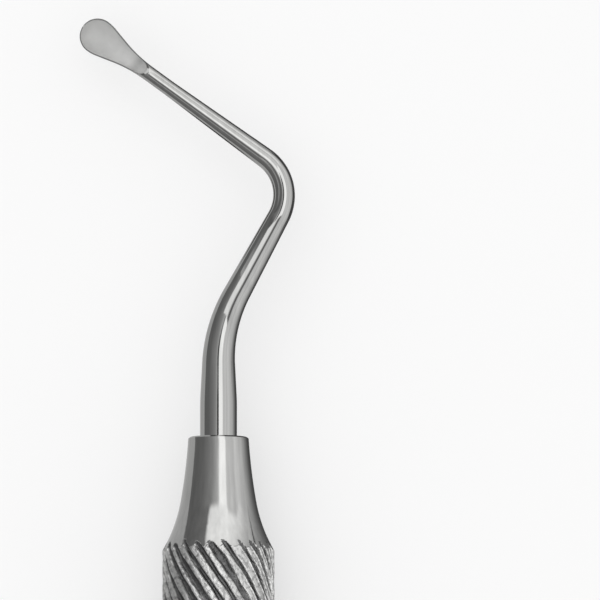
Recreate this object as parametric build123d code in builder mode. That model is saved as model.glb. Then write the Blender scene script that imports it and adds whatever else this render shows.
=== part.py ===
from build123d import *
import os
from dataclasses import dataclass
from math import asin, cos, degrees, radians, sin, sqrt, tan

# Double-ended bone curette, in millimetres.
# The turned handle lies along Y with its middle at the origin. The upper working end is at +Y, where its
# knee swings out to +X, its tip comes back over to -X and its spoon opens up to +Z. The lower end is the
# mirror twin, swung and opened the other way.

# Handle
handle_length = 113.0  # from rim to rim
barrel_dia = 8.0  # over the ridges' crests
shoulder_angle = 29.0  # slope on which the ridges run out
swell_from_rim = 4.6  # where a cone's gentle curve gives way to its steeper one
rim_chamfer = 0.10
grip_length = 20.0  # of ridges at each end of the barrel
waist_dia = 7.2  # plain middle of the barrel
envelope_over = 0.35  # how far the turned blank stands over the ridges before they are cut

# Twisted ridges of the grips
ridge_count = 24
ridge_lead = 36.0  # length over which a ridge goes once round
groove_depth = 0.30
groove_width = 0.42  # across the mouth of a groove, at the ridges' crests
cutter_wall = 0.5  # how far the ridge cutter reaches outside the blank

# Sockets and the tangs in them
socket_depth = 10.0
socket_clearance = 0.02  # all round a tang, the thickness of the braze

# Spoons
flare_angle = 14.5  # slope of a spoon's sides
neck_radius = 10.0  # of the outline where the neck starts to widen
cheek_radius = 2.85  # and where the sides turn in to the widest place
rim_land = 0.10  # width of the ground edge round the bowl
face_height = 0.15  # of the spoon's face over the middle of the tip run
ramp_radius = 2.77  # of the curve from the lip down to the face
scoop_lift = 0.20  # how far the middle of the scoop lies over the face
bend_steps = 8  # circles from which a bend is lofted


@dataclass
class WorkingEnd:
    """One end's own sizes. Runs are measured between the corners of its bent centre line."""

    node: str
    toward: int  # +1 for the end at +Y, -1 for its mirror twin at -Y
    rim_dia: float  # handle's rim round the shank
    swell_dia: float  # cone where its two curves meet
    cone_length: float
    rim_angle: float  # slope of the cone at its rim
    root_dia: float  # tang, and the shank as it leaves the handle
    parallel_length: float  # of the shank before its taper starts
    first_run: float
    first_turn: float
    first_radius: float
    second_run: float
    knee_turn: float
    knee_radius: float
    tip_run: float
    bend_dias: tuple  # shank at the start and end of the first bend
    knee_dias: tuple  # and at the start and end of the knee
    neck_dia: float
    bowl_width: float
    flare_length: float  # from the neck to the bowl's widest place
    lip_to_nose: float


upper = WorkingEnd(
    node="upper_working_end",
    toward=1,
    rim_dia=4.30,
    swell_dia=5.40,
    cone_length=8.04,
    rim_angle=3.5,
    root_dia=2.63,
    parallel_length=2.6,
    first_run=7.91,
    first_turn=28.4,
    first_radius=10.7,
    second_run=11.86,
    knee_turn=82.3,
    knee_radius=3.3,
    tip_run=19.0,
    bend_dias=(2.36, 1.90),
    knee_dias=(1.60, 1.46),
    neck_dia=1.085,
    bowl_width=2.576,
    flare_length=6.4,
    lip_to_nose=5.76,
)
lower = WorkingEnd(
    node="lower_working_end",
    toward=-1,
    rim_dia=4.06,
    swell_dia=5.24,
    cone_length=8.12,
    rim_angle=4.5,
    root_dia=2.63,
    parallel_length=0.4,
    first_run=8.42,
    first_turn=31.0,
    first_radius=9.7,
    second_run=11.14,
    knee_turn=83.4,
    knee_radius=3.15,
    tip_run=17.7,
    bend_dias=(2.22, 1.74),
    knee_dias=(1.475, 1.31),
    neck_dia=1.0,
    bowl_width=2.605,
    flare_length=6.1,
    lip_to_nose=5.50,
)

# Worked out from the sizes above
barrel_r = barrel_dia / 2
root_r = barrel_r - groove_depth
waist_r = waist_dia / 2
envelope_r = barrel_r + envelope_over
half_handle = handle_length / 2
shoulder_slope = tan(radians(shoulder_angle))


def end_outline(end):
    """Half of the turned blank's outline at one end, from its rim to the plain waist.

    Two arcs swell from the rim, pass the barrel's size at the shoulder and stop clear of the ridges.
    A slope beyond the grip takes the blank down to the waist. Returns where that slope ends along Y.
    """
    side = end.toward
    rim = (end.rim_dia / 2, side * half_handle)
    swell = (end.swell_dia / 2, side * (half_handle - swell_from_rim))
    shoulder_y = half_handle - end.cone_length
    over_y = shoulder_y - envelope_over / shoulder_slope
    grip_end_y = shoulder_y - grip_length + envelope_over / shoulder_slope
    waist_y = shoulder_y - grip_length - (barrel_r - waist_r) / shoulder_slope
    Line((0, side * half_handle), rim)
    rim_way = (sin(radians(end.rim_angle)), -side * cos(radians(end.rim_angle)))
    gentle = TangentArc(rim, swell, tangent=rim_way)
    TangentArc(swell, (envelope_r, side * over_y), tangent=gentle % 1)
    Polyline(
        (envelope_r, side * over_y), (envelope_r, side * grip_end_y), (waist_r, side * waist_y)
    )
    return side * waist_y


# Ridge cutter: a ring, bored to the ridges' section and twisted along the barrel
cutter_half = half_handle - min(upper.cone_length, lower.cone_length) + envelope_over
groove_half_angle = degrees(asin(groove_width / 2 / barrel_r))
ridge_pitch = 360 / ridge_count
with BuildSketch(Plane.XZ.offset(cutter_half)) as cutter_section:
    Circle(envelope_r + cutter_wall)
    with BuildLine():
        corners = []
        for step in range(ridge_count):
            groove = radians(step * ridge_pitch)
            land_start = groove + radians(groove_half_angle)
            land_end = groove + radians(ridge_pitch - groove_half_angle)
            corners.append((root_r * cos(groove), root_r * sin(groove)))
            corners.append((barrel_r * cos(land_start), barrel_r * sin(land_start)))
            corners.append((barrel_r * cos(land_end), barrel_r * sin(land_end)))
        Polyline(*corners, close=True)
    make_face(mode=Mode.SUBTRACT)
ridge_cutter = Solid.extrude_linear_with_rotation(
    cutter_section.sketch.face(),
    center=(0, -cutter_half, 0),
    normal=(0, 2 * cutter_half, 0),
    angle=-360 * 2 * cutter_half / ridge_lead,
)

# Handle: one bar turned to its outline, cut with the ridges and bored for the tangs
with BuildPart() as handle:
    with BuildSketch(Plane.XY) as blank:
        with BuildLine():
            upper_waist_y = end_outline(upper)
            lower_waist_y = end_outline(lower)
            Line((waist_r, upper_waist_y), (waist_r, lower_waist_y))
            Line((0, half_handle), (0, -half_handle))
        make_face()
        rim_corners = blank.vertices().filter_by(
            lambda v: abs(v.Y) > half_handle - rim_chamfer and v.X > 0
        )
        chamfer(rim_corners, length=rim_chamfer)
    revolve(axis=Axis.Y)
    add(ridge_cutter, mode=Mode.SUBTRACT)
    for end in (upper, lower):
        with BuildSketch(Plane.XZ.offset(-end.toward * half_handle)):
            Circle(end.root_dia / 2 + socket_clearance)
        extrude(amount=end.toward * socket_depth, mode=Mode.SUBTRACT)


def shank_point(end, across, along):
    """A point of an end's centre line: across from the handle's axis, along it from the rim."""
    return Vector(end.toward * across, end.toward * (half_handle + along), 0)


def spoon_outline(start_x, start_r, widest_x, widest_r):
    """Half outline of a spoon: level neck, arc, straight side, arc to the widest place, round nose."""
    turn = radians(flare_angle)
    arcs_rise = (neck_radius + cheek_radius) * (1 - cos(turn))
    side_length = (widest_r - start_r - arcs_rise) / sin(turn)
    flare_run = (neck_radius + cheek_radius) * sin(turn) + side_length * cos(turn)
    neck = Line((start_x, start_r), (widest_x - flare_run, start_r))
    widening = JernArc(neck @ 1, (1, 0), radius=neck_radius, arc_size=flare_angle)
    cheek = Line(widening @ 1, (widening @ 1) + (widening % 1) * side_length)
    JernArc(cheek @ 1, cheek % 1, radius=cheek_radius, arc_size=-flare_angle)
    CenterArc((widest_x, 0), widest_r, start_angle=0, arc_size=90)


def make_working_end(end):
    """Tang, tapered and twice bent shank, and spoon, forged as one piece."""
    tip_angle = end.knee_turn - end.first_turn
    second = Vector(sin(radians(end.first_turn)), cos(radians(end.first_turn)))
    tip = Vector(-sin(radians(tip_angle)), cos(radians(tip_angle)))
    neck_r = end.neck_dia / 2
    bowl_r = end.bowl_width / 2
    corner = Vector(0, end.first_run)
    knee = corner + second * end.second_run
    neck = knee + tip * (end.tip_run - bowl_r - end.flare_length)

    # centre line from the end of the parallel stretch to the neck, and the shank's size along it
    start = shank_point(end, 0, end.parallel_length)
    with BuildLine() as route:
        FilletPolyline(
            start,
            shank_point(end, corner.X, corner.Y),
            shank_point(end, knee.X, knee.Y),
            shank_point(end, neck.X, neck.Y),
            radius=[end.first_radius, end.knee_radius],
        )
    spans = route.wire().order_edges()
    dias = (end.root_dia, *end.bend_dias, *end.knee_dias, end.neck_dia)

    # the spoon is drawn in plan from the neck along the tip run, and turned about the line it lies on
    opening = Vector(0, 0, end.toward)
    tip_way = (shank_point(end, tip.X, tip.Y) - shank_point(end, 0, 0)).normalized()
    spoon_plan = Plane(shank_point(end, neck.X, neck.Y), x_dir=tip_way, z_dir=opening)
    spoon_side = Plane(spoon_plan.origin, x_dir=tip_way, z_dir=tip_way.cross(opening))
    nose_x = end.flare_length + bowl_r
    lip_x = nose_x - end.lip_to_nose
    ramp_depth = neck_r - face_height
    face_x = lip_x + sqrt(2 * ramp_radius * ramp_depth - ramp_depth**2)

    # the scoop: its middle line lies scoop_lift over the face, and its edge rim_land inside the outline
    scoop_r = sqrt((sqrt(bowl_r**2 - face_height**2) - rim_land) ** 2 + scoop_lift**2)
    scoop_neck_r = sqrt((neck_r - rim_land) ** 2 + scoop_lift**2)
    scoop_plan = spoon_plan.offset(face_height + scoop_lift)
    dome_x = (lip_x + face_x) / 2

    with BuildPart() as piece:
        with BuildSketch(Plane(start, x_dir=opening, z_dir=start - shank_point(end, 0, 0))):
            Circle(end.root_dia / 2)
        extrude(amount=-(end.parallel_length + socket_depth))
        for span, start_dia, end_dia in zip(spans, dias[:-1], dias[1:]):
            steps = 1 if span.geom_type == GeomType.LINE else bend_steps
            for step in range(steps + 1):
                share = step / steps
                with BuildSketch(Plane(span @ share, x_dir=opening, z_dir=span % share)):
                    Circle((start_dia + (end_dia - start_dia) * share) / 2)
            loft(ruled=True)

        with BuildSketch(spoon_plan):
            with BuildLine():
                spoon_outline(0, neck_r, end.flare_length, bowl_r)
                Polyline((nose_x, 0), (0, 0), (0, neck_r))
            make_face()
        revolve(axis=Axis(spoon_plan.origin, tip_way))

        # face: a curved ramp from the lip, then flat to past the nose
        with BuildSketch(spoon_side):
            with BuildLine():
                ramp_top = face_height + ramp_radius
                CenterArc((face_x, ramp_top), ramp_radius, start_angle=180, arc_size=90)
                Polyline(
                    (face_x, face_height),
                    (nose_x + rim_land, face_height),
                    (nose_x + rim_land, ramp_top),
                    (face_x - ramp_radius, ramp_top),
                )
            make_face()
        extrude(amount=2 * bowl_r, both=True, mode=Mode.SUBTRACT)

        # scoop
        with BuildSketch(scoop_plan):
            with BuildLine():
                CenterArc((dome_x, 0), scoop_neck_r, start_angle=90, arc_size=90)
                spoon_outline(dome_x, scoop_neck_r, end.flare_length, scoop_r)
                Line((end.flare_length + scoop_r, 0), (dome_x - scoop_neck_r, 0))
            make_face()
        revolve(axis=Axis(scoop_plan.origin, tip_way), mode=Mode.SUBTRACT)
    return piece


upper_end = make_working_end(upper)
lower_end = make_working_end(lower)

handle.part.label = "handle"
upper_end.part.label = upper.node
lower_end.part.label = lower.node

os.makedirs("parts", exist_ok=True)
for piece in (handle, upper_end, lower_end):
    export_step(piece.part, f"parts/{piece.part.label}.step")
    box = piece.part.bounding_box()
    print(piece.part.label, "volume", round(piece.part.volume, 2), "size", box.size)
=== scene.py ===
# %% [markdown]
# # A double-ended bone curette in polished and satin steel
# The instrument is a turned handle with a grip of twisted ridges near each end, and a bent,
# tapered shank with a small spoon at each end. Steel shows hardly any colour of its own: what the
# eye sees is the shape of the surface and the room mirrored in it. So the work goes into smooth
# curved surfaces, into three finishes of one metal, and into a studio that is worth reflecting.
#
# The solids come from the frame, in metres. Everything here is worked out in millimetres and
# turned into metres when a mesh is made.

# %% Load the frame
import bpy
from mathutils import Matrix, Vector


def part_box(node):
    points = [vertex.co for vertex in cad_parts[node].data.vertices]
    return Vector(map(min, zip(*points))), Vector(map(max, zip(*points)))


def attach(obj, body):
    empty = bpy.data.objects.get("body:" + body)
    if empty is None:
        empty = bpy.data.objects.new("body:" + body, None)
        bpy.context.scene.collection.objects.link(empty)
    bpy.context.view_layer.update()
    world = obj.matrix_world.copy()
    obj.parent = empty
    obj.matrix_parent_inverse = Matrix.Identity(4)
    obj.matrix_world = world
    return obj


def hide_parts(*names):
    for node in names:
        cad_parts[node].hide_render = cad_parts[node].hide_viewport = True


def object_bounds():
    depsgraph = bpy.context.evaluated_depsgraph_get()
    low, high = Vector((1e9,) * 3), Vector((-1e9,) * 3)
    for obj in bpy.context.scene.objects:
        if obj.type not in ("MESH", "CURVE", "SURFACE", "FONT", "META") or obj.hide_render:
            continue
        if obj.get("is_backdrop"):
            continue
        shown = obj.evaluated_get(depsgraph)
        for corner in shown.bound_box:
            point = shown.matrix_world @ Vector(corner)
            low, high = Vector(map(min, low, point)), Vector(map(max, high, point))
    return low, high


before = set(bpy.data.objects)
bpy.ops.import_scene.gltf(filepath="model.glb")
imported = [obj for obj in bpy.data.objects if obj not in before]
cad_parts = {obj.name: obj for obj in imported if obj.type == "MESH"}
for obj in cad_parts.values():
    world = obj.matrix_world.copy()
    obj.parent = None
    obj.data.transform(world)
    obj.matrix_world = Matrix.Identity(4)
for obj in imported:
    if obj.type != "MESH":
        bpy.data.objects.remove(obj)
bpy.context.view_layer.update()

from types import SimpleNamespace

import bpy
import numpy as np

MM = 0.001
handle_low, handle_high = (np.array(corner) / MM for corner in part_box("handle"))
half_handle = handle_high[1]
barrel_r = handle_high[0]
print("handle", round(2 * half_handle, 2), "mm long,", round(2 * barrel_r, 2), "mm across")

# %% [markdown]
# ## Meshes from arrays
# Every piece of the instrument is a closed skin: rings of points, one behind the other, each ring
# closed on itself, and a single point that closes the first and the last ring. Such a skin could
# be spun or swept with modifiers. Here its grid has to follow grooves and ground edges, so all
# its points are worked out as one array and handed to Blender at once.

# %% Faces between rings of points


def skin_faces(rows, columns):
    """Quads between rings that follow each other, and a fan of triangles from each end's tip."""
    row, column = np.meshgrid(np.arange(rows - 1), np.arange(columns), indexing="ij")
    beside = (column + 1) % columns
    quads = np.stack(
        [
            row * columns + column,
            row * columns + beside,
            (row + 1) * columns + beside,
            (row + 1) * columns + column,
        ],
        axis=-1,
    ).reshape(-1, 4)
    ring = np.arange(columns)
    after = (ring + 1) % columns
    last = (rows - 1) * columns
    first_tip = np.full(columns, rows * columns)
    start_fan = np.stack([after, ring, first_tip], axis=-1)
    end_fan = np.stack([last + ring, last + after, first_tip + 1], axis=-1)
    return quads, start_fan, end_fan


def volume_inside(points, triangles):
    """Signed volume: a sixth of the sum of the triple products of the triangles' corners."""
    a, b, c = (points[triangles[:, k]] for k in range(3))
    return (np.cross(a, b) * c).sum() / 6


print("3 rings of 4 points make", sum(len(faces) for faces in skin_faces(3, 4)), "faces")

# %% [markdown]
# A mirrored piece comes out with its faces pointing inwards, which spoils its shading. The sign
# of the volume inside tells that, so the skin is measured first and its faces are turned round if
# it is negative. Smooth shading rounds the grid, and only edges over a given angle stay crisp.

# %% A closed skin as an object


def place_object(name, data):
    """An object that holds a mesh, a lamp or a camera, linked into the scene."""
    made = bpy.data.objects.new(name, data)
    bpy.context.scene.collection.objects.link(made)
    return made


def mesh_object(name, points, faces):
    """An object with a new mesh through points in metres."""
    mesh = bpy.data.meshes.new(name)
    mesh.from_pydata(points, [], faces)
    return place_object(name, mesh)


def add_attribute(mesh, name, values):
    """One number for each point of a mesh, for a material to read."""
    layer = mesh.attributes.new(name, "FLOAT", "POINT")
    layer.data.foreach_set("value", values)


def make_skin(name, rings, tips, attributes, sharp_angle):
    """Object through rings (rows, columns, 3) in mm, with a value for each point in attributes."""
    rows, columns, _ = rings.shape
    points = np.vstack([rings.reshape(-1, 3), tips]) * MM
    quads, start_fan, end_fan = skin_faces(rows, columns)
    triangles = np.vstack([quads[:, :3], quads[:, [0, 2, 3]], start_fan, end_fan])
    volume = volume_inside(points, triangles)
    if volume < 0:
        quads, start_fan, end_fan = quads[:, ::-1], start_fan[:, ::-1], end_fan[:, ::-1]
    faces = quads.tolist() + start_fan.tolist() + end_fan.tolist()
    piece = mesh_object(name, points.tolist(), faces)
    mesh = piece.data
    for key, values in attributes.items():
        add_attribute(mesh, key, np.append(values.ravel(), values.ravel()[[0, -1]]))
    mesh.polygons.foreach_set("use_smooth", np.ones(len(mesh.polygons), dtype=bool))
    mesh.set_sharp_from_angle(angle=np.radians(sharp_angle))
    mesh.update()
    print(name, len(triangles), "triangles,", round(abs(volume) / MM**3, 1), "mm3")
    return piece


# %% [markdown]
# ## The handle
# On the real handle a bar is rolled or cut with twisted ridges and then turned down to a cone at
# each end, so the ridges run out on the cone in points. The same order works for a surface: one
# formula gives the radius of the turned bar, another the radius of the ridges, and the smaller of
# the two is the handle. That needs no cutting of meshes, which would leave slivers along 24
# twisted edges.
#
# The turned bar comes first. A cone leaves its rim on a gentle arc, bends into a steeper one, and
# would go on rising past the ridges, to the envelope from which the bar was turned.

# %% The turned outline of the handle
swell_from_rim = 4.6  # from the rim to where a cone's gentle curve turns into its steeper one
shoulder_slope = np.tan(np.radians(29.0))  # on which the ridges run out
envelope_over = 0.35  # how far the turned bar would stand over the ridges
grip_length = 20.0
waist_r = 3.6
upper_cone = SimpleNamespace(rim_r=2.15, swell_r=2.70, length=8.04, rim_angle=3.5)
lower_cone = SimpleNamespace(rim_r=2.03, swell_r=2.62, length=8.12, rim_angle=4.5)


def arc_height(x, start, end, start_angle):
    """Height at x of the circle through start and end that leaves start at start_angle.

    Its radius is the chord over twice the sine of the angle between the chord and the start. The
    sine of its slope grows in step with x. Returns the height, and the slope's angle at the end.
    """
    chord = np.array(end) - np.array(start)
    chord_angle = np.arctan2(chord[1], chord[0])
    radius = np.hypot(*chord) / (2 * np.sin(chord_angle - start_angle))
    slope_sine = np.clip(np.sin(start_angle) + (x - start[0]) / radius, -1, 1)
    height = start[1] + radius * (np.cos(start_angle) - np.sqrt(1 - slope_sine**2))
    return height, 2 * chord_angle - start_angle


def turned_radius(from_rim, cone):
    """Radius of the bar at a distance from a rim: two arcs, the envelope, and down to the waist."""
    over = cone.length + envelope_over / shoulder_slope
    rim = (0, cone.rim_r)
    swell = (swell_from_rim, cone.swell_r)
    gentle, swell_angle = arc_height(from_rim, rim, swell, np.radians(cone.rim_angle))
    steep, _ = arc_height(from_rim, swell, (over, barrel_r + envelope_over), swell_angle)
    cone_r = np.where(from_rim < swell_from_rim, gentle, steep)
    waist_fall = barrel_r - (from_rim - cone.length - grip_length) * shoulder_slope
    inner_r = np.clip(waist_fall, waist_r, barrel_r + envelope_over)
    return np.where(from_rim < over, np.minimum(cone_r, inner_r), inner_r)


print("upper cone", np.round(turned_radius(np.arange(0, 9, 2.0), upper_cone), 2), "mm radius")

# %% [markdown]
# The ridges are hand-filed and uneven: their grooves wander, widen and narrow. A bump texture
# could fake that, but the outline against the background would stay a smooth line. So the grooves
# are real, and the columns of the grid follow every groove's bottom and both its edges. Those
# edges stay crisp however they wander, with far fewer points than an even grid would need.

# %% Grooves that wander
ridge_count = 24
ridge_lead = 36.0  # length over which a ridge goes once round
groove_depth = 0.30
groove_share = 0.26  # half a groove's mouth, as a share of the pitch from ridge to ridge
wander = np.random.default_rng(7)


def slow_noise(along, spread, wavelengths):
    """One slow random line a ridge: sines of the given wavelengths, each with a random phase."""
    total = np.zeros((len(along), ridge_count))
    for wavelength in wavelengths:
        phase = wander.uniform(0, 2 * np.pi, ridge_count)
        share = wander.uniform(0.5, 1.0, ridge_count)
        total += share * np.sin(2 * np.pi * along[:, None] / wavelength + phase)
    return spread * total / len(wavelengths)


print("ridge pitch", round(2 * np.pi * barrel_r / ridge_count, 3), "mm")

# %% [markdown]
# One ridge takes 12 columns: from the bottom of a groove up to its edge, over the crest, and down
# to the bottom of the next. The crest falls to one side, as a file held at a slant leaves it.

# %% Columns across the ridges
in_groove = np.array([0.0, 0.4, 0.75, 1.0])  # share of the way from a groove's bottom to its edge
groove_fall = np.array([1.0, 0.95, 0.7, 0.12])  # how deep the steel lies there
on_land = np.array([0.12, 0.3, 0.5, 0.7, 0.88])  # share of the way over the crest
land_fall = np.array([0.0, 0.02, 0.08, 0.16, 0.26])


def ridge_grid(along):
    """Columns across the ridges at each place along the handle.

    Returns the place round the handle, in ridge pitches, and how deep each column lies, from 0 on a
    crest to 1 at the bottom of a groove, both as arrays of (places along, columns).
    """
    middle = slow_noise(along, 0.07, (2.3, 5.3, 11.0))
    middle += wander.uniform(-0.09, 0.09, ridge_count)
    half = groove_share * (1 + slow_noise(along, 0.34, (1.3, 2.7, 7.5)))
    half *= wander.uniform(0.75, 1.2, ridge_count)
    deep = 0.95 + slow_noise(along, 0.3, (1.3, 4.1))
    next_middle, next_half, next_deep = (np.roll(a, -1, axis=1) for a in (middle, half, deep))
    left = middle + half
    right = 1 + next_middle - next_half
    places, depths = [], []
    for share, fall in zip(in_groove, groove_fall):
        places.append(middle + half * share)
        depths.append(fall * deep)
    for share, fall in zip(on_land, land_fall):
        places.append(left + (right - left) * share)
        depths.append(fall * np.ones_like(deep))
    for share, fall in zip(in_groove[:0:-1], groove_fall[:0:-1]):
        places.append(1 + next_middle - next_half * share)
        depths.append(fall * next_deep)
    order = np.arange(ridge_count)[None, :, None]
    place = np.stack(places, axis=-1) + order
    depth = np.stack(depths, axis=-1)
    return place.reshape(len(along), -1), np.clip(depth, -0.05, 1.1).reshape(len(along), -1)


ridge_columns = 2 * len(in_groove) - 1 + len(on_land)
print(ridge_count * ridge_columns, "columns round the handle")

# %% [markdown]
# A ridge ends in a point only where the rows of the grid lie close together. Rows cost triangles,
# so they are spread by need: closest where the ridges run out, and far apart on the plain middle.

# %% Rows along the handle
rim_chamfer = 0.10
run_out = 1.6  # stretch at each end of a grip that needs close rows
middle_rows = 8
middle_gap = 1.0  # from a grip's last row to the first of the middle


def rows_between(start, end, step):
    """Places from start up to but not at end, about step apart."""
    return np.linspace(start, end, max(2, round(abs(end - start) / step)), endpoint=False)


def rows_from_rim(cone):
    """Distances from a rim at which the handle gets a row, closest where the ridges run out."""
    shoulder = cone.length
    waist = shoulder + grip_length
    return np.concatenate(
        [
            [0.0],
            rows_between(rim_chamfer, shoulder - run_out, 0.3),
            rows_between(shoulder - run_out, shoulder + 0.4, 0.06),
            rows_between(shoulder + 0.4, waist - 0.4, 0.25),
            rows_between(waist - 0.4, waist + run_out, 0.09),
        ]
    )


def handle_rows():
    """Places along Y and turned radii of all rows, from the upper rim to the lower one."""
    upper_rows, lower_rows = rows_from_rim(upper_cone), rows_from_rim(lower_cone)
    middle_start = half_handle - upper_rows[-1] - middle_gap
    middle_end = lower_rows[-1] + middle_gap - half_handle
    middle = np.linspace(middle_start, middle_end, middle_rows)
    along = np.concatenate([half_handle - upper_rows, middle, lower_rows[::-1] - half_handle])
    upper_r = turned_radius(upper_rows, upper_cone)
    lower_r = turned_radius(lower_rows, lower_cone)
    upper_r[0] -= rim_chamfer
    lower_r[0] -= rim_chamfer
    return along, np.concatenate([upper_r, np.full(middle_rows, waist_r), lower_r[::-1]])


along, turned = handle_rows()
print(len(along), "rows along the handle")

# %% [markdown]
# Now the grid is wound round the bar. Its columns turn with the ridges, but run straight over the
# plain middle, where a few rows can't carry a twist. Where the turned bar is thinner than the
# ridges the surface is a polished cone, and the attribute `polish` tells the material so.

# %% Ridges and cones in one grid
still_middle = 25.5  # half the stretch in which the columns run straight
ridge_room = 0.012  # by which the crests stay inside the barrel
place, depth = ridge_grid(along)
twisted_length = np.sign(along) * np.maximum(np.abs(along) - still_middle, 0)
twist = 2 * np.pi * twisted_length / ridge_lead
round_angle = place * 2 * np.pi / ridge_count - twist[:, None]
ridged = barrel_r - ridge_room - groove_depth * depth
radius = np.minimum(turned[:, None], ridged)
polish = np.clip((ridged - turned[:, None]) / 0.02, 0, 1)
print("polished share of the grid", round(float(polish.mean()), 2))

# %% [markdown]
# The skin goes on into both sockets that hold the tangs, as two more rings and a flat bottom
# each, so it is closed like the real bar.

# %% The handle's skin
socket_depth = 10.0
socket_r = 1.335
columns = round_angle.shape[1]
socket_y = np.array([half_handle - socket_depth, half_handle])
ring_y = np.concatenate([socket_y, along, -socket_y[::-1]])
socket_radius = np.full((2, columns), socket_r)
ring_r = np.vstack([socket_radius, radius, socket_radius])
ring_angle = np.vstack([round_angle[[0, 0]], round_angle, round_angle[[-1, -1]]])
handle_rings = np.stack(
    [
        ring_r * np.sin(ring_angle),
        np.broadcast_to(ring_y[:, None], ring_r.shape),
        ring_r * np.cos(ring_angle),
    ],
    axis=-1,
)
even = np.ones((2, columns))
handle_skin = make_skin(
    "handle_skin",
    handle_rings,
    np.array([[0, socket_y[0], 0], [0, -socket_y[0], 0]]),
    {
        "polish": np.vstack([even, polish, even]),
        "depth": np.vstack([0 * even, depth, 0 * even]),
    },
    sharp_angle=24,
)

# %% [markdown]
# ## The working ends
# Each end is forged from one rod: a round shank that tapers and bends twice, and a spoon that
# swells from its neck. The two ends are mirror twins, but ground by hand, so each has sizes of
# its own.

# %% Sizes of the two ends
upper_end = SimpleNamespace(
    name="upper_end_skin", node="upper_working_end", toward=1,
    root_r=1.315, parallel_length=2.6,
    first_run=7.91, first_turn=28.4, first_radius=10.7,
    second_run=11.86, knee_turn=82.3, knee_radius=3.3,
    bend_radii=(1.18, 0.95), knee_radii=(0.80, 0.73),
    tip_run=18.994, neck_r=0.5425, bowl_r=1.282,
    flare_length=6.4, lip_to_nose=5.754,
)
lower_end = SimpleNamespace(
    name="lower_end_skin", node="lower_working_end", toward=-1,
    root_r=1.315, parallel_length=0.4,
    first_run=8.42, first_turn=31.0, first_radius=9.7,
    second_run=11.14, knee_turn=83.4, knee_radius=3.15,
    bend_radii=(1.11, 0.87), knee_radii=(0.7375, 0.655),
    tip_run=17.694, neck_r=0.50, bowl_r=1.2965,
    flare_length=6.1, lip_to_nose=5.494,
)
print("spoons", 2 * upper_end.bowl_r, "and", 2 * lower_end.bowl_r, "mm wide")

# %% [markdown]
# A rod is bent over round dies, so its middle line is made of straights and arcs. A curve object
# with a round bevel would follow such a line, but the spoon needs rings at exact distances along
# it. The heading changes evenly along an arc and not at all along a straight, so the line is the
# running sum of its heading.

# %% The path of a shank


def bend_places(end):
    """Distances along the path where the first bend and the knee start and end, and of the nose.

    A bend cuts its corner off by its radius times the tangent of half its turn.
    """
    first_turn, knee_turn = np.radians(end.first_turn), np.radians(end.knee_turn)
    first_cut = end.first_radius * np.tan(first_turn / 2)
    knee_cut = end.knee_radius * np.tan(knee_turn / 2)
    bend_start = end.first_run - first_cut
    bend_end = bend_start + end.first_radius * first_turn
    knee_start = bend_end + end.second_run - first_cut - knee_cut
    knee_end = knee_start + end.knee_radius * knee_turn
    return bend_start, bend_end, knee_start, knee_end, knee_end + end.tip_run - knee_cut


def shank_path(end, distance):
    """Centre and heading at distances along the path, in the plane of the bends.

    The heading is measured from the handle's axis. It changes evenly within a bend, and the centre
    is the running sum of the heading's sine across and of its cosine along.
    """
    bend_start, bend_end, knee_start, knee_end, nose = bend_places(end)
    tip_turn = end.first_turn - end.knee_turn
    fine = np.linspace(-socket_depth, nose, 8000)
    heading = np.radians(
        np.interp(
            fine,
            [bend_start, bend_end, knee_start, knee_end],
            [0, end.first_turn, end.first_turn, tip_turn],
        )
    )
    step = fine[1] - fine[0]
    sines, cosines = np.sin(heading), np.cos(heading)
    across = np.append(0, np.cumsum((sines[1:] + sines[:-1]) / 2)) * step
    ahead = np.append(0, np.cumsum((cosines[1:] + cosines[:-1]) / 2)) * step - socket_depth
    return tuple(np.interp(distance, fine, line) for line in (across, ahead, heading))


print("upper path", round(bend_places(upper_end)[-1], 2), "mm from the rim to the nose")

# %% [markdown]
# The rod's tip is beaten out into a spoon and ground to a smooth outline. A smooth curve through a
# few points would come close, but arcs and straights that leave each other in the same direction
# are what a grinder makes, and any bulge or kink would show in the steel.

# %% Half width of a spoon
flare_turn = np.radians(14.5)
neck_radius = 10.0
cheek_radius = 2.85


def circle_fall(radius, offset):
    """How far a circle has fallen below its top at an offset from it."""
    return radius - np.sqrt(np.maximum(radius**2 - offset**2, 0))


def spoon_radius(x, start_r, widest_x, widest_r):
    """Half width of a spoon at x along its tip run.

    A level neck, a hollow arc, a straight side, a round arc and a round nose, each a circle or a
    line that leaves the one before it in the same direction.
    """
    turn = flare_turn
    rise = (neck_radius + cheek_radius) * (1 - np.cos(turn))
    side = (widest_r - start_r - rise) / np.sin(turn)
    arc_end = widest_x - cheek_radius * np.sin(turn) - side * np.cos(turn)
    arc_start = arc_end - neck_radius * np.sin(turn)
    cheek_start = widest_x - cheek_radius * np.sin(turn)
    arc_top = start_r + circle_fall(neck_radius, neck_radius * np.sin(turn))
    return np.select(
        [x < arc_start, x < arc_end, x < cheek_start, x < widest_x],
        [
            start_r + 0 * x,
            start_r + circle_fall(neck_radius, x - arc_start),
            arc_top + (x - arc_end) * np.tan(turn),
            widest_r - circle_fall(cheek_radius, widest_x - x),
        ],
        widest_r - circle_fall(widest_r, np.minimum(x - widest_x, widest_r)),
    )


places = np.arange(0, 7.5, 1.5)
half_widths = spoon_radius(places, upper_end.neck_r, upper_end.flare_length, upper_end.bowl_r)
print("upper spoon", np.round(half_widths, 2), "mm half width")

# %% [markdown]
# The shank gets thinner from run to run, each time by a straight taper. Where two tapers meet,
# polish has worn the corner away, which a moving average does to the numbers.

# %% Thickness of a shank
taper_soft = 1.6  # stretch over which a corner between two tapers is worn away


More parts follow.
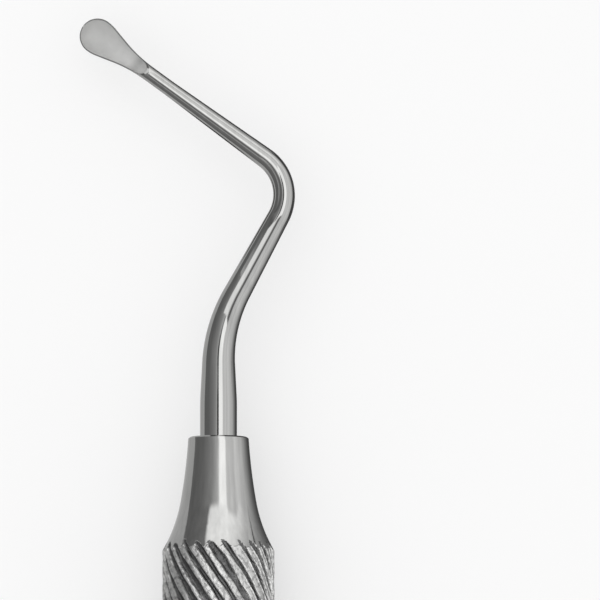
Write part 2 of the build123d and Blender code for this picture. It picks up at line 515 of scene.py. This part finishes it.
def shank_radius(end, distance, neck_at):
    """Half thickness of the shank: a straight taper from bend to bend, then a moving average."""
    bend_start, bend_end, knee_start, knee_end, nose = bend_places(end)
    fine = np.linspace(-socket_depth, nose, 4000)
    straight = np.interp(
        fine,
        [end.parallel_length, bend_start, bend_end, knee_start, knee_end, neck_at],
        [end.root_r, *end.bend_radii, *end.knee_radii, end.neck_r],
    )
    width = round(taper_soft / (fine[1] - fine[0]))
    window = np.hanning(width + 2)[1:-1]
    padded = np.pad(straight, (width // 2, width - 1 - width // 2), mode="edge")
    return np.interp(distance, fine, np.convolve(padded, window / window.sum(), mode="valid"))


shank_radii = shank_radius(upper_end, np.arange(0, 30, 6.0), neck_at=30.0)
print("upper shank", np.round(shank_radii, 2), "mm radius")

# %% [markdown]
# The spoon's top is ground flat, which leaves a curved ramp where the wheel entered, and then
# hollowed with a small round stone up to a narrow land at the rim. Three heights describe it, the
# round rod, the face and the scoop, and the lowest of them is the steel that is left.

# %% The ground face and the scoop
rim_land = 0.05  # between the outline and the scoop's edge
face_height = 0.15
ramp_radius = 2.77
scoop_lift = 0.20  # from the face up to the middle of the scoop's round


def ground_top(end, x):
    """Height of the ground face, and half width of the scoop in the plane through its middle.

    x is counted from the neck. The face starts on a ramp of a quarter circle, which comes out of
    the round neck at the lip, and runs on flat past the nose.
    """
    widest = end.flare_length
    lip = widest + end.bowl_r - end.lip_to_nose
    ramp_depth = end.neck_r - face_height
    face_start = lip + np.sqrt(2 * ramp_radius * ramp_depth - ramp_depth**2)
    before = np.clip(face_start - x, 0, ramp_radius)
    face = face_height + circle_fall(ramp_radius, before)
    scoop_r = np.hypot(np.sqrt(end.bowl_r**2 - face_height**2) - rim_land, scoop_lift)
    dome_r = np.hypot(end.neck_r - rim_land, scoop_lift)
    dome_x = (lip + face_start) / 2
    dome = np.sqrt(np.maximum(dome_r**2 - (dome_x - x) ** 2, 0))
    scoop = np.where(x < dome_x, dome, spoon_radius(x, dome_r, widest, scoop_r))
    return face, np.where(x > widest + scoop_r, 0, scoop)


print("upper face", np.round(ground_top(upper_end, np.arange(2.0, 5.0))[0], 2), "mm high")

# %% [markdown]
# A mirror shows the grid it is made of, so rings stand close wherever the form changes fast: at
# the lip, where the ramp cuts the round neck, and round the nose.

# %% Rings and columns of an end
back_columns = 64
scoop_columns = 44


def end_rows(end):
    """Distances along the path at which an end gets a ring, ever closer towards the nose."""
    nose = bend_places(end)[-1]
    widest = nose - end.bowl_r
    neck = widest - end.flare_length
    lip = nose - end.lip_to_nose
    sweep = np.radians(np.linspace(0, 88.5, 60))
    return np.concatenate(
        [
            rows_between(-socket_depth, 0, 2.0),
            rows_between(0, neck, 0.14),
            rows_between(neck, lip - 1.0, 0.08),
            rows_between(lip - 1.0, lip + 2.2, 0.035),
            rows_between(lip + 2.2, widest, 0.07),
            widest + end.bowl_r * np.sin(sweep),
        ]
    )


print(back_columns + scoop_columns, "columns,", len(end_rows(upper_end)), "rings in the upper end")

# %% [markdown]
# Each ring is two curves that share their ends: the round back, and a top that is the lowest of
# the three heights. Columns run along the edge of the face and along the edge of the scoop, so
# both edges are drawn by the grid itself and need no cutting.

# %% The curves of a ring
plain_half_angle = np.radians(32)  # of the top curve where there is no face
back_side = np.linspace(-1, 1, back_columns)  # from one edge of the top round to the other
most_share = 0.97  # of the top's half width that the scoop's columns take
least_share = 0.35
lip_spread = 0.6  # stretch behind the lip in which the columns draw together on the scoop
ground_from = 0.004  # depth below the round rod from which steel counts as ground


def end_rings(end, distance):
    """Across and up of all points in each ring's own plane, and what the finish needs to know."""
    neck_at = bend_places(end)[-1] - end.bowl_r - end.flare_length
    x = distance - neck_at
    outline = np.where(
        x < 0,
        shank_radius(end, distance, neck_at),
        spoon_radius(x, end.neck_r, end.flare_length, end.bowl_r),
    )
    face, scoop = ground_top(end, x)
    face = np.where(x < -1, np.inf, face)

    # half angle of the top curve: out to the edge of the face, or a plain share of the section
    cut = np.arccos(np.clip(face / np.maximum(outline, 1e-9), -1, 1))
    half_angle = np.maximum(cut, plain_half_angle)
    widened = half_angle[:, None] - plain_half_angle
    back_angle = np.pi + (np.pi - plain_half_angle) * back_side
    back_angle = back_angle - widened * back_side * np.abs(back_side) ** 1.5
    back_u = outline[:, None] * np.sin(back_angle)
    back_z = outline[:, None] * np.cos(back_angle)

    # the top's outer columns lie on the scoop's edge, and before the scoop close to the top's own
    edge = outline * np.sin(half_angle)
    scoop_edge = np.sqrt(np.maximum(scoop**2 - scoop_lift**2, 0))
    lip_x = end.flare_length + end.bowl_r - end.lip_to_nose
    least = np.interp(x, [lip_x, lip_x + lip_spread], [most_share, least_share])
    inner = np.maximum(np.minimum(scoop_edge, most_share * edge), least * edge)
    top_u = inner[:, None] * np.sin(np.linspace(-np.pi / 2, np.pi / 2, scoop_columns))
    round_z = np.sqrt(np.maximum(outline[:, None] ** 2 - top_u**2, 0))
    scoop_drop = np.sqrt(np.maximum(scoop[:, None] ** 2 - top_u**2, 0))
    scoop_z = np.where(scoop_drop > 0, face_height + scoop_lift - scoop_drop, np.inf)
    ground_z = np.minimum(face[:, None], scoop_z)

    known = SimpleNamespace(
        x=x,
        lip_x=lip_x,
        to_rim=inner[:, None] - np.abs(top_u),
        is_ground=ground_z < round_z - ground_from,
    )
    return np.hstack([back_u, top_u]), np.hstack([back_z, np.minimum(round_z, ground_z)]), known


_, ring_heights, _ = end_rings(upper_end, end_rows(upper_end))
print("upper end's rings reach", np.round([ring_heights.min(), ring_heights.max()], 2), "mm")

# %% [markdown]
# The finish changes along the steel: the shank is polished, the spoon's back fine brushed, and
# the ground face satin. Shade and dark reflections are painted on too: a dark line where the scoop
# meets the rim, a dark patch on the ramp behind the lip and dark edges along the back. An image
# could carry that, but it would need unwrapping. The grid already knows every place, so each point
# gets three numbers instead.

# %% The finish and painted shade of each point
brush_from, brush_until = 1.2, 1.0  # from the neck, and before the widest place
ground_brushed = 0.3
# painted shade: width of the dark line along the scoop's edge
rim_shade_width = 0.05
# painted shade on the ramp behind the lip: its place, width and strength
ramp_shade_place, ramp_shade_width, ramp_shade_strength = 1.0, 0.35, 0.35  # on the ramp, behind the lip
# painted dark reflection along the back's edges, where it meets the face
edge_shade_strength = 0.6  # of the back where it meets the face


def end_finish_and_shade(end, known):
    """How satin and how brushed each point is, and how much painted shade it gets, from 0 to 1."""
    x, lip_x, is_ground = known.x, known.lip_x, known.is_ground
    whole_back = np.ones((1, back_columns))
    brush_length = end.flare_length - (brush_from + brush_until)
    brushing = np.clip((x - brush_from) / brush_length, 0, 1)[:, None]
    brushing = brushing * brushing * (3 - 2 * brushing)
    satin = np.hstack([0 * x[:, None] * whole_back, is_ground * 1.0])
    brushed = np.hstack([brushing * whole_back, np.where(is_ground, ground_brushed, brushing)])

    # painted shade: a dark line along the scoop's edge at the rim
    rim_shade = is_ground * np.clip(1 - known.to_rim / rim_shade_width, 0, 1)
    # painted shade: a dark patch on the ramp behind the lip, where the end of the scoop rises
    from_ramp_shade = (x - lip_x - ramp_shade_place) / ramp_shade_width
    ramp_shade = is_ground * ramp_shade_strength * np.exp(-(from_ramp_shade**2))[:, None]
    # painted dark reflection along the back's edges next to the face, on the spoon only
    edge_shade = edge_shade_strength * np.clip((np.abs(back_side) - 0.8) / 0.15, 0, 1) * brushing
    dark = np.hstack([edge_shade, np.maximum(rim_shade, ramp_shade)])
    # the back's two edge columns take the painted shade of the rim line
    dark[:, [0, back_columns - 1]] = rim_shade[:, [-1, 0]]
    return {"satin": satin, "brushed": brushed, "dark": dark}


# %% [markdown]
# Last the rings are stood on the path, each square to its heading. The lower end is the upper
# one's mirror twin, each point on the other side of the origin, so one function makes both.

# %% The two working ends


def make_working_end(end):
    """Carries the rings along the path, and turns the lower end into the upper one's twin."""
    distance = end_rows(end)
    u, z, known = end_rings(end, distance)
    across, ahead, heading = shank_path(end, distance)
    rings = np.stack(
        [
            across[:, None] + u * np.cos(heading)[:, None],
            half_handle + ahead[:, None] - u * np.sin(heading)[:, None],
            z,
        ],
        axis=-1,
    )
    nose_across, nose_ahead, _ = shank_path(end, bend_places(end)[-1])
    tang_tip = [0, half_handle - socket_depth, 0]
    tips = np.array([tang_tip, [nose_across, half_handle + nose_ahead, 0]])
    print(end.name, "nose at", np.round(end.toward * tips[1], 2))
    finish_and_shade = end_finish_and_shade(end, known)
    return make_skin(end.name, end.toward * rings, end.toward * tips, finish_and_shade, sharp_angle=28)


upper_skin = make_working_end(upper_end)
lower_skin = make_working_end(lower_end)

# %% [markdown]
# ## Shader maths
# A finish is a small sum of patterns. Written node by node such a sum is hard to read, so one
# class wraps a socket and lets plain expressions add the Math nodes. Every other node comes from
# its method `node`.

# %% A socket that can be calculated with


class Wire:
    """A socket of a node tree. Sums and products with numbers or other wires add Math nodes."""

    def __init__(self, tree, socket=None):
        self.tree = tree
        self.socket = socket

    def node(self, kind, settings=None, inputs=None, output=0):
        """Adds a node of a type, sets its settings, then fills its sockets with values or wires."""
        made = self.tree.nodes.new(kind)
        for key, value in (settings or {}).items():
            if key == "stops":
                while len(made.color_ramp.elements) < len(value):
                    made.color_ramp.elements.new(1.0)
                for element, (position, grey) in zip(made.color_ramp.elements, value):
                    element.position = position
                    element.color = (grey, grey, grey, 1)
            else:
                setattr(made, key, value)
        for key, value in (inputs or {}).items():
            if isinstance(value, Wire):
                self.tree.links.new(value.socket, made.inputs[key])
            else:
                made.inputs[key].default_value = value
        return Wire(self.tree, made.outputs[output] if made.outputs else None)

    def maths(self, operation, first, second=0.0):
        """A Math node between two numbers or wires."""
        return self.node("ShaderNodeMath", {"operation": operation}, {0: first, 1: second})

    def __add__(self, other):
        return self.maths("ADD", self, other)

    __radd__ = __add__

    def __mul__(self, other):
        return self.maths("MULTIPLY", self, other)

    __rmul__ = __mul__

    def __sub__(self, other):
        return self.maths("SUBTRACT", self, other)

    def __rsub__(self, other):
        return self.maths("SUBTRACT", other, self)

    def between(self, low, high):
        """Rises smoothly from 0 at low to 1 at high."""
        limits = {"Value": self, "From Min": low, "From Max": high}
        return self.node("ShaderNodeMapRange", {"interpolation_type": "SMOOTHSTEP"}, limits)

    def band(self, low, high, soft):
        """1 from low to high, falling smoothly to 0 over a soft stretch on either side."""
        return self.between(low - soft, low) * (1 - self.between(high, high + soft))

    def blend(self, low, high):
        """A colour between two others, by this value."""
        colors = {0: self, 6: low, 7: high}
        return self.node("ShaderNodeMix", {"data_type": "RGBA"}, colors, output=2)


# %% [markdown]
# Both materials need the same few parts: the place on the object, noise, and lines that run along
# the instrument where a polishing wheel went. Object coordinates keep these patterns fixed to the
# steel.

# %% Parts of a steel material


def new_material(name):
    """A material with an empty tree, and a wire to start from."""
    material = bpy.data.materials.new(name)
    material.use_nodes = True
    material.node_tree.nodes.clear()
    return material, Wire(material.node_tree)


def attribute(start, name):
    """The number that a mesh keeps for each point."""
    return start.node("ShaderNodeAttribute", {"attribute_name": name}, output="Fac")


def object_place(start):
    """The place on the object, in metres."""
    return start.node("ShaderNodeTexCoord", output="Object")


def noise(place, scale, detail):
    """A random pattern from 0 to 1, with about scale swings in a metre."""
    inputs = {"Vector": place, "Scale": scale, "Detail": detail}
    return place.node("ShaderNodeTexNoise", {}, inputs)


def wheel_lines(place):
    """Noise drawn out 25 times along the instrument."""
    drawn_out = place.node(
        "ShaderNodeVectorMath", {"operation": "MULTIPLY"}, {0: place, 1: (1, 0.04, 1)}
    )
    return noise(drawn_out, 3000.0, 2.0)


# %% [markdown]
# All steel here is one shader, fed with different patterns. Polished steel takes in about half of
# the light that falls on it, so its colour is a middle grey and not white.

# %% The steel itself
polished_low = (0.37, 0.37, 0.365, 1)
polished_high = (0.53, 0.53, 0.52, 1)


def steel_surface(start, color, metallic, roughness, bump_height, bump_distance):
    """Steel with a bump, joined to the material's output."""
    bump = start.node(
        "ShaderNodeBump", {}, {"Height": bump_height, "Distance": bump_distance, "Strength": 1.0}
    )
    metal = start.node(
        "ShaderNodeBsdfPrincipled",
        {},
        {"Base Color": color, "Metallic": metallic, "Roughness": roughness, "Normal": bump},
    )
    start.node("ShaderNodeOutputMaterial", {}, {"Surface": metal})


print("polished steel from", polished_low[0], "to", polished_high[0])

# %% [markdown]
# ## Three finishes of one steel
# Cones and shanks are polished, with faint lines left by the cloth wheel. The spoons are ground
# with a fine stone, which leaves an even satin: its grain is hardly wider than a pixel, so most
# of it is roughness, and the bump only breaks up the sheen. Satin steel of pure metal would go
# dark wherever the room is dark, so there it is made less metallic, which keeps it light from
# every side.

# %% Polished and satin steel of the working ends
ground_low = (0.42, 0.42, 0.415, 1)
ground_high = (0.62, 0.62, 0.61, 1)
# painted shade: the colour of the dark line at the rim, the dark patch on the ramp and the dark
# edges of the back
painted_shade_color = (0.12, 0.12, 0.12, 1)

tip_material, wire = new_material("tip_steel")
satin, brushed, dark = (attribute(wire, name) for name in ("satin", "brushed", "dark"))
where = object_place(wire)
grain = noise(where, 9000.0, 3.0)
cloud = noise(where, 900.0, 5.0)
polished = wheel_lines(where).blend(polished_low, polished_high)
ground_face = cloud.blend(ground_low, ground_high)
steel_surface(
    wire,
    # the colour goes over to the painted shade where the mesh asks for it
    color=dark.blend(satin.blend(polished, ground_face), painted_shade_color),
    metallic=(1 - 0.88 * satin) * (1 - 0.35 * brushed),
    roughness=0.06 + 0.43 * satin + 0.38 * brushed + 0.03 * cloud,
    bump_height=grain * (0.04 + satin + 0.5 * brushed),
    bump_distance=0.000006,
)
print(tip_material.name, len(tip_material.node_tree.nodes), "nodes")

# %% [markdown]
# The crests of the ridges are rough and cracked where the file tore the steel. They look bright
# because every grain catches some light, and the grooves between them lie in shade, which their
# colour paints darker still.
# One noise with close limits makes the tears, and the same pattern drives colour and bump, so a
# dark crack is also a dent.

# %% Polished cones and torn ridges of the handle
crest_low = (0.24, 0.24, 0.24, 1)
crest_high = (0.72, 0.72, 0.71, 1)
# painted shade: the grooves' colour is darkened for the shade that falls in them
groove_shade_low = (0.05, 0.05, 0.05, 1)
groove_shade_high = (0.20, 0.20, 0.20, 1)

handle_material, wire = new_material("handle_steel")
polish_wire, depth_wire = attribute(wire, "polish"), attribute(wire, "depth")
where = object_place(wire)
grain = noise(where, 7000.0, 3.0)
torn = noise(where, 3600.0, 4.0).between(0.34, 0.56)
crest = (torn * 0.6 + grain * 0.4).blend(crest_low, crest_high)
# painted shade in the grooves
groove = grain.blend(groove_shade_low, groove_shade_high)
ridges = depth_wire.between(0.2, 0.7).blend(crest, groove)
polished = wheel_lines(where).blend(polished_low, polished_high)
steel_surface(
    wire,
    color=polish_wire.blend(ridges, polished),
    metallic=0.88 + 0.12 * polish_wire,
    roughness=0.38 - 0.30 * polish_wire,
    bump_height=(torn + grain) * (1 - polish_wire),
    bump_distance=0.000022,
)
print(handle_material.name, len(handle_material.node_tree.nodes), "nodes")

# %% [markdown]
# ## Pieces on the frame
# Each skin stands for one solid of the frame, lies where that solid lies, hides that solid and
# gets one of the two steel materials made here. Nothing in the instrument moves, so all three ride
# on the one body.

# %% Hand the skins to the frame
for piece, node, material, slot in (
    (handle_skin, "handle", handle_material, "handle_steel"),
    (upper_skin, upper_end.node, tip_material, "tip_steel"),
    (lower_skin, lower_end.node, tip_material, "tip_steel"),
):
    piece.data.materials.append(material)
    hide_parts(node)
    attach(piece, "root")
    print(piece.name, "stands for", node)

# %% [markdown]
# ## Studio
# A white floor, one soft lamp and a pale sky light the instrument. The floor is half paper and
# half glow where the camera sees it, which lifts it close to white and still leaves a faint
# shadow that tells how high the shanks lie.

# %% Floor
floor_reach = 6.0
floor_level = handle_low[2] * MM
floor_white = (0.97, 0.97, 0.97, 1)


def square_points(reach, level):
    """Corners of a level square round the origin, in metres, so ordered that it faces upwards."""
    corners = np.array([[-1, -1], [1, -1], [1, 1], [-1, 1]]) * reach
    return np.column_stack([corners, np.full(4, level)]).tolist()


floor = mesh_object("floor", square_points(floor_reach, floor_level), [(0, 1, 2, 3)])
floor_material, wire = new_material("floor_white")
paper = wire.node("ShaderNodeBsdfDiffuse", {}, {"Color": floor_white})
white = wire.node("ShaderNodeEmission", {}, {"Color": floor_white, "Strength": 1.0})
seen = wire.node("ShaderNodeLightPath", output="Is Camera Ray")
lit_paper = wire.node("ShaderNodeMixShader", {}, {0: seen * 0.5, 1: paper, 2: white})
wire.node("ShaderNodeOutputMaterial", {}, {"Surface": lit_paper})
floor.data.materials.append(floor_material)
floor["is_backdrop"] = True
print("floor at", round(floor_level / MM, 2), "mm")

# %% [markdown]
# Polished steel looks like its surroundings, so a photographer hangs cloth round it. Here that is
# a coarse half ball, far away: a dark side on the left, a bright strip just right of the middle
# and a light grey side on the right, with bright panels beyond both ends. Only mirrored rays meet
# it, so it neither hides the instrument from the camera nor shades the floor.

# %% Cloth that only the steel sees
brightest = 2.0


def cloth_object(name, points, faces):
    """A stage piece that only mirrored rays meet."""
    cloth = mesh_object(name, points, faces)
    cloth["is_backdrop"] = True
    for kind in ("camera", "diffuse", "transmission", "volume_scatter", "shadow"):
        setattr(cloth, "visible_" + kind, False)
    print(name, "of", len(faces), "faces")
    return cloth


def glowing_cloth(cloth, material, start, color):
    """Gives a stage piece its own light, from black to the brightest."""
    glow = start.node("ShaderNodeEmission", {}, {"Color": color, "Strength": brightest})
    start.node("ShaderNodeOutputMaterial", {}, {"Surface": glow})
    cloth.data.materials.append(material)


def graded(value, steps):
    """Brightness that follows steps of (value, brightness), in straight lines between them."""
    low, high = steps[0][0], steps[-1][0]
    share = (value - low) * (1 / (high - low))
    stops = [((at - low) / (high - low), level / brightest) for at, level in steps]
    return share.node("ShaderNodeValToRGB", {"stops": stops}, {"Fac": share})


def split_place(start, axes, unit):
    """The named coordinates of the shaded place, in units given in metres."""
    place = object_place(start)
    return [
        start.node("ShaderNodeSeparateXYZ", {}, {"Vector": place}, output=axis) * (1 / unit)
        for axis in axes
    ]


# %% The tent
tent_radius = 3.0


def tent_points(rows=24, columns=48):
    """Half a ball over the floor: the height angle goes from the floor to the top, row by row."""
    height = np.linspace(-0.02, np.pi / 2 - 0.01, rows)[:, None]
    around = np.linspace(0, 2 * np.pi, columns, endpoint=False)[None, :]
    east = np.cos(height) * np.cos(around)
    north = np.cos(height) * np.sin(around)
    return tent_radius * np.stack([east, north, np.sin(height + 0 * around)], axis=-1)


tent_rings = tent_points()
quads, _, top_fan = skin_faces(*tent_rings.shape[:2])
tent_tips = [[0, 0, 0], [0, 0, tent_radius]]
tent = cloth_object(
    "tent",
    np.vstack([tent_rings.reshape(-1, 3), tent_tips]).tolist(),
    quads.tolist() + top_fan.tolist(),
)

# %% [markdown]
# Along a rod, the place that it mirrors depends on one angle: how far that place leans from
# straight up to the left or right. So the tent is graded by this lean, which draws lines along
# the shanks and the cones. Only surfaces that flare, such as the foot of a cone, see the panels
# beyond the ends, and the curved edge of a panel becomes the curved edge of the bright patch
# there.

# %% Shades of the tent
# brightness against degrees from straight up, left to right, over the middle and beyond the ends
side_cloth = [
    (-90, 0.20), (-66, 0.21), (-53, 0.25), (-38, 0.33), (-25, 0.41), (-18, 0.50),
    (-11, 0.63), (-4, 0.80), (0, 0.98), (4, 1.75), (24, 1.85), (28, 1.10), (36, 1.00),
    (43, 1.08), (54, 0.93), (64, 1.10), (81, 0.96), (90, 0.84),
]
end_cloth = [(-90, 0.20), (-40, 0.28), (-32, 1.45), (30, 1.65), (62, 1.2), (90, 0.7)]
panel_edge = (0.46, 0.56)  # where the end panels start, as a share of the way to the ends
edge_wave = 0.07  # by which that edge comes in at one lean and goes out at another
panel_skew = 40  # degrees by which the panels' shades shift on the way to the ends

tent_material, wire = new_material("tent_cloth")
east, north, up = split_place(wire, "XYZ", tent_radius)
lean = wire.maths("ARCTAN2", east, up) * (180 / np.pi)
endwards = wire.maths("ABSOLUTE", north)
skewed = lean + (endwards - 0.75) * panel_skew
waved = endwards - edge_wave * lean.band(33, 57, 6) + edge_wave * lean.band(66, 73, 6)
cloth = waved.between(*panel_edge).blend(graded(lean, side_cloth), graded(skewed, end_cloth))

# the black hood of the camera, a thin line along the first run
hood = lean.band(-7, 0, 2) * north.band(0.08, 0.215, 0.015)
glowing_cloth(tent, tent_material, wire, hood.blend(cloth, (0.01, 0.01, 0.01, 1)))
print(tent_material.name, len(tent_material.node_tree.nodes), "nodes")

# %% [markdown]
# The floor close to the instrument is mirrored in the lower flanks of every round part. A dark
# cloth on it, along the right-hand side, draws their right edges, as a line of ink would. Two
# more dark places lie beyond the tips and in the crook of the knees.

# %% Dark cloth on the floor
ground_reach = 3.0
ground_lift = 0.00005  # over the floor, so the two don't meet
ground = cloth_object(
    "ground_cloth", square_points(ground_reach, floor_level + ground_lift), [(0, 1, 2, 3)]
)

# brightness against millimetres to the right of the shank's middle line
ground_cloth = [
    (-60, 0.21), (-36, 0.21), (-30, 0.62), (-1.5, 0.62), (0.5, 0.08), (5.5, 0.10),
    (10.3, 0.35), (16.5, 0.57), (35, 0.75), (60, 0.85),
]
bend_place = 64.4  # of the upper end along Y, in mm
knee_place = (5.64, 74.8)
crook_place = (-2.5, 76.0)
crook_core, crook_reach = 2.0, 4.0  # radii in which the crook's shade is full, and where it ends
second_lean = np.radians(upper_end.first_turn)  # of a second run from the handle's axis
tip_lean = np.radians(53.9)  # of a tip run, to the other side

# %% [markdown]
# The shades are counted from the shank's middle line, which leans over past the bend, to the
# right at one end and to the left at the other. The places beyond the tips and in the crooks are
# the same at both ends, turned half round, so their coordinates are multiplied by the end's sign.

# %% Shades of the floor cloth
ground_material, wire = new_material("ground_cloth")
east, north = split_place(wire, "XY", MM)
end_sign = wire.maths("SIGN", north)
past_bend = wire.maths("MAXIMUM", wire.maths("ABSOLUTE", north) - bend_place, 0.0)
beside = east - end_sign * past_bend * np.tan(second_lean)
beyond_knee = (east * end_sign - knee_place[0]) * np.cos(tip_lean)
beyond_knee += (north * end_sign - knee_place[1]) * np.sin(tip_lean)
at_ends = wire.maths("ABSOLUTE", north).between(63, 69)
beyond_tip = beyond_knee.band(0.5, 11, 3) * at_ends
from_crook_x, from_crook_y = east * end_sign - crook_place[0], north * end_sign - crook_place[1]
crook_square = from_crook_x * from_crook_x + from_crook_y * from_crook_y
in_crook = 1 - crook_square.between(crook_core**2, crook_reach**2)
shade = wire.maths("MAXIMUM", beyond_tip, in_crook)
cloth = shade.blend(graded(beside, ground_cloth), (0.05, 0.05, 0.05, 1))
glowing_cloth(ground, ground_material, wire, cloth)
print(ground_material.name, len(ground_material.node_tree.nodes), "nodes")

# %% [markdown]
# Far cloth can't tell the second run from the cone, since both mirror the same lean. Two small
# cards close over the upper shank can, one along its second run and one along its tip run. Each
# is shaded across by the angle from straight up at which its run sees it, so it draws light and
# dark lines along that run and nowhere else.

# %% Cards over the upper shank
card_rows = 12


def run_card(name, end, stretch, height, reach, steps):
    """A ribbon over a stretch of the path, as wide as reach says to either side, all in mm.

    A point of it lies over the path's centre, moved by its offset across the path's heading.
    """
    distance = np.linspace(*stretch, card_rows)
    across, ahead, heading = (line[:, None] for line in shank_path(end, distance))
    offset = np.array(reach) + 0 * across
    x = across + offset * np.cos(heading)
    y = half_handle + ahead - offset * np.sin(heading)
    points = np.stack([x, y, height + 0 * x], axis=-1).reshape(-1, 3) * MM
    left = np.arange(card_rows - 1) * 2
    faces = np.column_stack([left, left + 1, left + 3, left + 2])
    card = cloth_object(name, points.tolist(), faces.tolist())
    add_attribute(card.data, "offset", offset.ravel())
    material, wire = new_material(name)
    angle = wire.maths("ARCTAN2", attribute(wire, "offset"), height) * (180 / np.pi)
    glowing_cloth(card, material, wire, graded(angle, steps))


_, bend_end, knee_start, knee_end, nose = bend_places(upper_end)
print("second run from", round(bend_end, 2), "to", round(knee_start, 2), "mm along the path")

# %% [markdown]
# The second run shows one broad light line with a dark one to its right. The tip run is dark on
# its left side and light in its middle.

# %% The two cards
# brightness against degrees from straight up, left to right of each run
second_steps = [
    (-31, 0.7), (-26, 1.48), (1, 1.45), (7, 0.75), (13, 0.20), (21, 0.20), (28, 0.95),
    (40, 1.0),
]
tip_steps = [
    (-43, 0.66), (-32, 0.32), (-20, 0.17), (-13, 0.50), (-7, 1.3), (-1, 1.85), (7, 1.80),
    (16, 1.20), (40, 1.12), (51, 0.80),
]
second_stretch = (bend_end - 0.8, knee_start + 0.6)
tip_stretch = (knee_end - 0.6, nose - 5.2)
run_card("second_card", upper_end, second_stretch, 7.0, (-4.4, 5.8), second_steps)
run_card("tip_card", upper_end, tip_stretch, 8.0, (-7.5, 10.0), tip_steps)

# %% [markdown]
# One large lamp gives the soft shadow. It isn't mirrored, because a square of light on every
# polished part would break the lines that the cloth draws. The sky fills the shade, and is plain
# white wherever a ray from the camera or a mirrored ray meets it.

# %% Lamp and sky
lamp_data = bpy.data.lights.new("key_lamp", "AREA")
lamp_data.shape = "SQUARE"
lamp_data.size = 1.8
lamp_data.energy = 3.6
key_lamp = place_object("key_lamp", lamp_data)
key_lamp.location = (-0.5, 0.3, 1.3)
# a lamp shines along its own -Z, so its Z points away from the origin
key_lamp.rotation_euler = key_lamp.location.to_track_quat("Z", "Y").to_euler()
key_lamp.visible_glossy = False

sky_light = 0.88
world = bpy.data.worlds.new("studio")
bpy.context.scene.world = world
world.use_nodes = True
world.node_tree.nodes.clear()
wire = Wire(world.node_tree)
seen, mirrored, passed = (
    wire.node("ShaderNodeLightPath", output=f"Is {kind} Ray")
    for kind in ("Camera", "Glossy", "Transmission")
)
shown = wire.maths("MINIMUM", seen + mirrored + passed, 1.0)
strength = sky_light + (1 - sky_light) * shown
sky = wire.node("ShaderNodeBackground", {}, {"Color": (1, 1, 1, 1), "Strength": strength})
wire.node("ShaderNodeOutputWorld", {}, {"Surface": sky})
print("lamp of", round(lamp_data.energy, 1), "W, sky light", sky_light)

# %% [markdown]
# ## Camera
# The photograph was taken from high over the handle's middle with a long lens, so the ends are
# seen a little from the side of the handle. The upper end is framed as it stands in the left half
# of the photograph, at the same scale. The camera looks down, because the instrument lies.

# %% Camera over the upper end
image_size = 600
pixels_per_mm = 14.02
rim_pixel = np.array([218.6, 438.0])  # middle of the upper cone's rim in the photograph
camera_height = 0.65

middle_offset = (image_size / 2 - rim_pixel) * [1, -1] / pixels_per_mm
target = np.array([middle_offset[0], half_handle + middle_offset[1], 0]) * MM
camera_data = bpy.data.cameras.new("camera")
camera = place_object("camera", camera_data)
bpy.context.scene.camera = camera
camera.location = (0, 0, camera_height)
tilt = np.arctan2(target[1], np.hypot(camera_height, target[0]))
swing = -np.arctan2(target[0], camera_height)
camera.rotation_euler = (tilt, swing, 0)
sight_line = np.linalg.norm(target - np.array([0, 0, camera_height]))
field = image_size / pixels_per_mm * MM
camera_data.sensor_width = 36
camera_data.lens = camera_data.sensor_width * sight_line / field
camera_data.clip_end = 100
bpy.context.scene.view_settings.view_transform = "Standard"
print("lens", round(camera_data.lens), "mm, tilt", round(float(np.degrees(tilt)), 2), "degrees")

# %% [markdown]
# Last, the box round the finished pieces is worked out and printed.

# %% Print the box round the pieces
visual_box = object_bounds()
low_corner, high_corner = (np.round(np.array(corner) / MM, 2) for corner in visual_box)
print("pieces from", low_corner, "to", high_corner, "mm")
